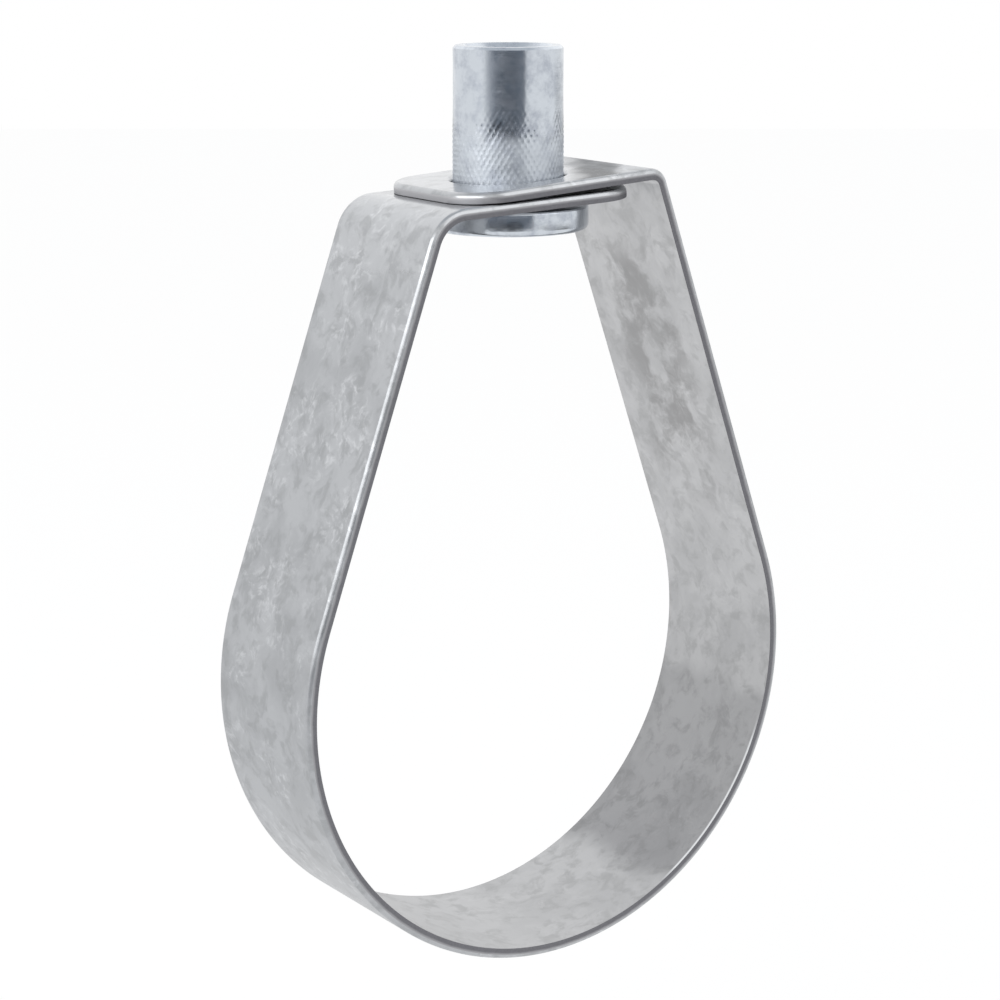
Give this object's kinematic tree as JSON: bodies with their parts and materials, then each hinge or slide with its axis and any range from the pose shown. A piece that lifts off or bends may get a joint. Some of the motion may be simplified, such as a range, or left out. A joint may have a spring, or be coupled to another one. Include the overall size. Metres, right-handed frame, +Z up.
{
  "type": "swivel ring hanger",
  "caption": "Swivel ring hanger for a pipe: a teardrop band of galvanised steel strip that turns on a flanged, knurled and threaded insert nut.",
  "frame": {"origin": "on the axis of the insert nut's thread, in the plane of the flange face that carries the ring", "axes": "+Z up along the threaded rod, X across the ring from leg to leg, Y along the pipe"},
  "size_m": [0.066, 0.02, 0.1047],
  "materials": {
    "ring_band": "pre-galvanised strip, dull grey zinc with faint spangle, bare sheared edges",
    "swivel_nut": "bright zinc plated, turned, with a diamond knurl on the lower barrel"
  },
  "bodies": {
    "insert": {"swivel_nut": "swivel_nut"},
    "ring": {"ring_band": "ring_band"}
  },
  "joints": [
    {"name": "ring_swivel", "type": "hinge", "parent": "insert", "child": "ring", "pos_m": [0, 0, 0], "axis": [0, 0, 1], "continuous": true}
  ]
}
